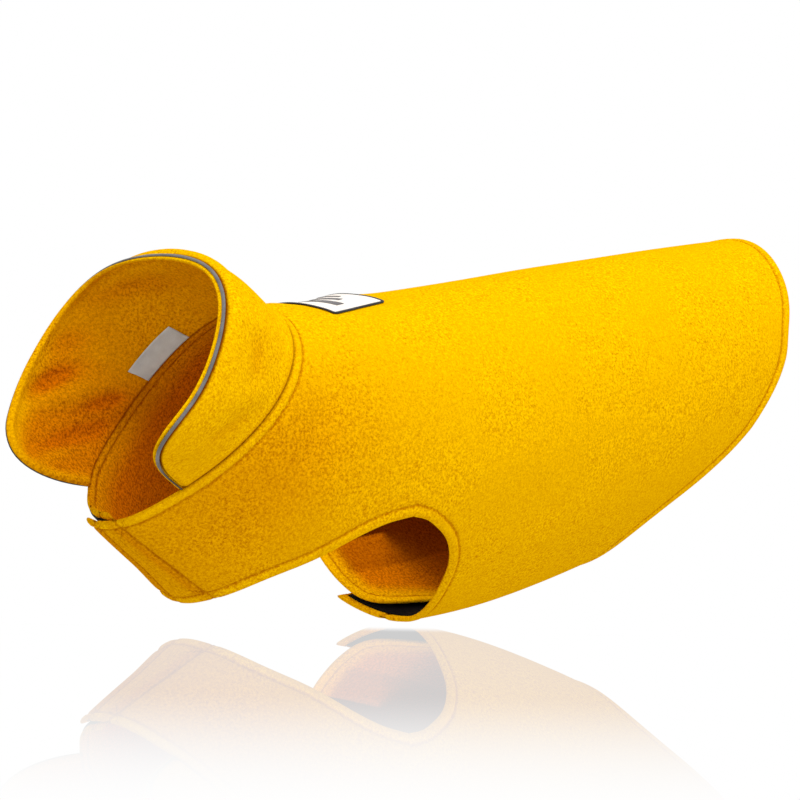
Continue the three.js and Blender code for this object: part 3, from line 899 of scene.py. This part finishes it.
# Overlocked border: a flattened cord round the patch with slanting threads.
BORDER_INSET, BORDER_LIFT = 0.012, 0.95
BORDER_WIDTH, BORDER_HEIGHT, THREAD_PITCH = 1.25, 0.62, 1.5
PATCH_ROUND = [(0, 0), (0, 1), (1, 1), (1, 0)]
walk = []
for start, end in zip(np.array(PATCH_ROUND), np.array(PATCH_ROUND[1:] + PATCH_ROUND[:1])):
    walk.append(start + (end - start) * np.linspace(0.03, 0.97, 130)[:, None])
walk = np.concatenate(walk) * (1 - 2 * BORDER_INSET) + BORDER_INSET
spots = patch_place(walk[:, 0], walk[:, 1])
line = on_back(spots, np.full(len(walk), BORDER_LIFT))
up = unit(on_back(spots, np.full(len(walk), BORDER_LIFT + 2)) - line)
along = unit(np.roll(line, -1, 0) - np.roll(line, 1, 0))
side = unit(np.cross(along, up))
run = np.concatenate([[0], np.cumsum(np.linalg.norm(np.diff(line, axis=0), axis=1))])
ring_points = []
for k in range(BORDER_SIDES):
    turn = 2 * math.pi * k / BORDER_SIDES
    ridge = 1 + 0.13 * np.sin(2 * math.pi * (run / THREAD_PITCH) + turn)
    ring_points.append(line + side * (BORDER_WIDTH * math.cos(turn) * ridge)[:, None]
                       + up * (BORDER_HEIGHT * math.sin(turn) * ridge)[:, None])
ring_points = np.stack(ring_points, 1)
patch_border = make("patch_border", ring_points.reshape(-1, 3), tube_faces(len(ring_points), BORDER_SIDES, True),
                    patch_black)

bpy.context.view_layer.update()

# Stage: white floor and surround, soft studio light.
# The camera looks from the photo's angle at a point of the coat that the photo shows at AIM_PIXEL.
AIM = Vector((0.040, 0, -0.097))
PHOTO_PIXELS, AIM_PIXEL = 800, (453, 409)
AZIMUTH, ELEVATION, DISTANCE = math.radians(-46), math.radians(9.5), 1.955
towards = Vector((math.sin(AZIMUTH) * math.cos(ELEVATION), -math.cos(AZIMUTH) * math.cos(ELEVATION),
                  math.sin(ELEVATION)))
camera_data = bpy.data.cameras.new("camera")
camera_data.lens = 110
camera_data.sensor_width = 36
camera_data.shift_x = (PHOTO_PIXELS / 2 - AIM_PIXEL[0]) / PHOTO_PIXELS
camera_data.shift_y = (AIM_PIXEL[1] - PHOTO_PIXELS / 2) / PHOTO_PIXELS
camera = bpy.data.objects.new("camera", camera_data)
camera.location = AIM + towards * DISTANCE
camera.rotation_euler = (-towards).to_track_quat("-Z", "Y").to_euler()
bpy.context.scene.collection.objects.link(camera)
bpy.context.scene.camera = camera

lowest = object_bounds()[0].z

# Where the floor's mirror fades in and out, in metres ahead of the camera, and its full share
MIRROR_START, MIRROR_END, MIRROR_SHARE = (0.3, 0.68), (1.5, 1.7), 0.385


def stage_material(name, mirrors):
    """White that shines evenly. The floor also mirrors, in the stretch that shows in front of the coat."""
    material = bpy.data.materials.new(name)
    material.use_nodes = True
    tree = material.node_tree
    tree.nodes.clear()
    out = tree.nodes.new("ShaderNodeOutputMaterial")
    glow = add(tree, "ShaderNodeEmission", {"Color": (1, 1, 1, 1), "Strength": 1.0})
    if not mirrors:
        tree.links.new(glow.outputs[0], out.inputs[0])
        return material
    place = add(tree, "ShaderNodeSeparateXYZ", {0: object_place(tree)})
    rising = ranged(tree, place.outputs["Y"], *MIRROR_START, 0.0, MIRROR_SHARE)
    share = maths(tree, "MULTIPLY", rising, ranged(tree, place.outputs["Y"], *MIRROR_END, 1.0, 0.0))
    mirror = add(tree, "ShaderNodeBsdfGlossy", {"Color": (1, 1, 1, 1), "Roughness": 0})
    mixed = add(tree, "ShaderNodeMixShader", {0: share, 1: glow.outputs[0], 2: mirror.outputs[0]})
    tree.links.new(mixed.outputs[0], out.inputs[0])
    return material


# The floor starts DROP metres below the camera and falls away from it to below the coat, because the photo's
# mirror image hangs straight down from the belly. FALL is its slope to the view, and ROLL its slope to the right.
DROP, FALL, ROLL = 0.03, 0.0718, 0.02
FLOOR_EDGE = [(0.12, 0.28), (0.45, 1.25), (2, 1.6), (2, 4.5)]
right, upward, backward = (camera.rotation_euler.to_matrix().col[k] for k in range(3))
across = (right - upward * ROLL).normalized()
ahead = (-backward - upward * FALL).normalized()
floor_mesh = bpy.data.meshes.new("floor")
floor_corners = [(x, y, 0) for x, y in FLOOR_EDGE] + [(-x, y, 0) for x, y in FLOOR_EDGE[::-1]]
floor_mesh.from_pydata(floor_corners, [], [list(range(len(floor_corners)))])
floor = bpy.data.objects.new("floor", floor_mesh)
floor.matrix_world = Matrix((across, ahead, across.cross(ahead))).transposed().to_4x4()
floor.location = camera.location - upward * DROP
floor_mesh.materials.append(stage_material("white_floor", True))
bpy.context.scene.collection.objects.link(floor)
bpy.ops.mesh.primitive_uv_sphere_add(segments=48, ring_count=24, radius=9, location=(0, 0, lowest))
surround = bpy.context.object
surround.name = "surround"
surround.data.materials.append(stage_material("white_surround", False))
for stage_piece in (floor, surround):
    stage_piece.visible_diffuse = False
    stage_piece.visible_shadow = False

world = bpy.data.worlds.new("studio")
bpy.context.scene.world = world
world.use_nodes = True
world.node_tree.nodes["Background"].inputs["Color"].default_value = (1, 0.84, 0.7, 1)
world.node_tree.nodes["Background"].inputs["Strength"].default_value = 0.78


def soft_light(name, place, size, power, at=(0.05, 0, -0.1)):
    data = bpy.data.lights.new(name, "AREA")
    data.shape = "SQUARE"
    data.size = size
    data.energy = power
    light = bpy.data.objects.new(name, data)
    light.location = place
    light.rotation_euler = (Vector(place) - Vector(at)).to_track_quat("Z", "Y").to_euler()
    light.visible_camera = False
    light.visible_glossy = False
    bpy.context.scene.collection.objects.link(light)


# Name, place, size in metres, power in watts, and what the light faces.
soft_light("top_light", (0.1, -0.4, 2.0), 1.8, 25)
soft_light("right_light", (1.1, -2.0, 0.9), 1.4, 13.5)
soft_light("front_light", (-1.3, -1.1, 0.75), 1.2, 4)
soft_light("floor_light", (-0.02, 0.02, -0.212), 0.1, 0.034, (-0.02, 0.03, -0.3))
soft_light("neck_light", (-0.245, 0.01, -0.09), 0.07, 0.011, (-0.255, 0.04, -0.2))

scene = bpy.context.scene
scene.view_settings.view_transform = "Standard"
scene.view_settings.look = "None"
